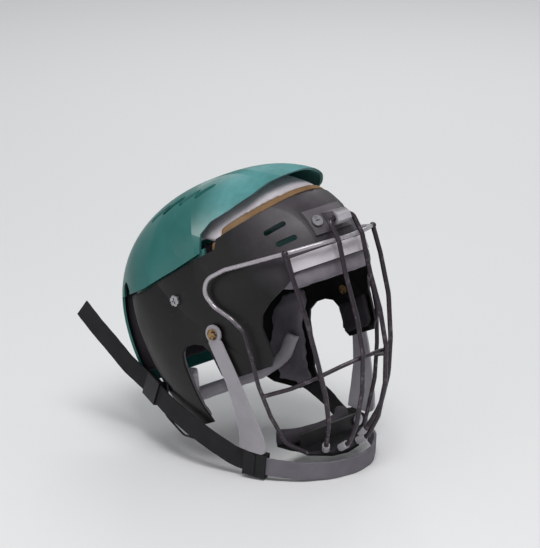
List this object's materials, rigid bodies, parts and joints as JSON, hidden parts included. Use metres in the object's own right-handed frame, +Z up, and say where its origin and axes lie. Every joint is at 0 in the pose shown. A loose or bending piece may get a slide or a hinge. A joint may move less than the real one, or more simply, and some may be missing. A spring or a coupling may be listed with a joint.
{
  "type": "hurling helmet",
  "caption": "Two-shell sport helmet with foam liner, lifting wire face guard, padded chin cup and adjustable chin harness.",
  "frame": {"origin": "centre of the wearer's head inside the shells (head_seat), the point that the shells are shaped about", "axes": "+X is the wearer's left, -Y is the front of the face guard, +Z is up as the helmet is shown; the head leans back by 25 degrees"},
  "size_m": [0.234, 0.3706, 0.3182],
  "materials": {
    "shell_teal": "satin moulded plastic",
    "shell_charcoal": "satin charcoal moulded plastic",
    "foam_light": "smooth covered foam",
    "foam_tan": "bare tan foam edge",
    "label_pale": "pale bare band",
    "wire_grey": "dipped wire, dark grey",
    "sleeve_grey": "light grey sleeve",
    "strap_grey": "light grey moulded strap",
    "band_grey": "grey woven band",
    "webbing_black": "black woven webbing",
    "buckle_black": "black moulded plastic",
    "chin_foam": "dark covered foam",
    "screw_steel": "plain steel",
    "rivet_brass": "dull brass"
  },
  "bodies": {
    "front": {"front_shell": "shell_charcoal", "crown_liner": "foam_light", "liner_tan_edge": "foam_tan", "brow_pad": "foam_light", "brow_band": "label_pale", "cheek_pad_right": "foam_light", "cheek_pad_left": "foam_light", "leg_pad_right": "foam_light", "leg_pad_left": "foam_light", "nape_roll": "foam_light", "size_nut_right": "screw_steel", "size_nut_left": "screw_steel", "temple_rivet_right": "rivet_brass", "temple_rivet_left": "rivet_brass", "side_strap_right": "strap_grey", "side_strap_left": "strap_grey", "forehead_clip": "shell_charcoal", "clip_screws": "screw_steel", "chin_band": "band_grey", "webbing_right": "webbing_black", "webbing_left": "webbing_black", "nape_buckle_right": "buckle_black", "nape_buckle_left": "buckle_black", "webbing_tail": "webbing_black", "keeper_cord": "webbing_black", "nape_tab_right": "webbing_black", "nape_tab_left": "webbing_black"},
    "rear": {"rear_shell": "shell_teal", "adjuster_plate_right": "shell_teal", "adjuster_plate_left": "shell_teal", "rear_liner": "foam_light"},
    "guard": {"guard_frame": "wire_grey", "guard_hairpin": "wire_grey", "guard_bar_right": "wire_grey", "guard_bar_left": "wire_grey", "guard_crossbar": "wire_grey", "guard_sleeves": "sleeve_grey", "chin_cup": "buckle_black", "chin_pad": "chin_foam", "chin_snap": "screw_steel"},
    "screw_right": {"size_screw_right": "screw_steel"},
    "screw_left": {"size_screw_left": "screw_steel"},
    "slider_right": {"strap_slider_right": "buckle_black"},
    "slider_left": {"strap_slider_left": "buckle_black"}
  },
  "joints": [
    {"name": "size_adjust", "type": "slide", "parent": "front", "child": "rear", "axis": [0, -0.9063, 0.4226], "range_m": [0, 0.006]},
    {"name": "size_screw_right_turn", "type": "hinge", "parent": "front", "child": "screw_right", "pos_m": [-0.11, 0.01546, 0.00713], "axis": [1, 0, 0], "range_deg": [-180, 180]},
    {"name": "size_screw_left_turn", "type": "hinge", "parent": "front", "child": "screw_left", "pos_m": [0.11, 0.01546, 0.00713], "axis": [-1, 0, 0], "range_deg": [-180, 180]},
    {"name": "faceguard_lift", "type": "hinge", "parent": "front", "child": "guard", "pos_m": [0, -0.11655, 0.10003], "axis": [-1, 0, 0], "range_deg": [0, 50]},
    {"name": "strap_slider_right_slide", "type": "slide", "parent": "front", "child": "slider_right", "axis": [-0.2577, 0.9611, 0.0993], "range_m": [0, 0.004]},
    {"name": "strap_slider_left_slide", "type": "slide", "parent": "front", "child": "slider_left", "axis": [0.2577, 0.9611, 0.0993], "range_m": [0, 0.004]}
  ]
}
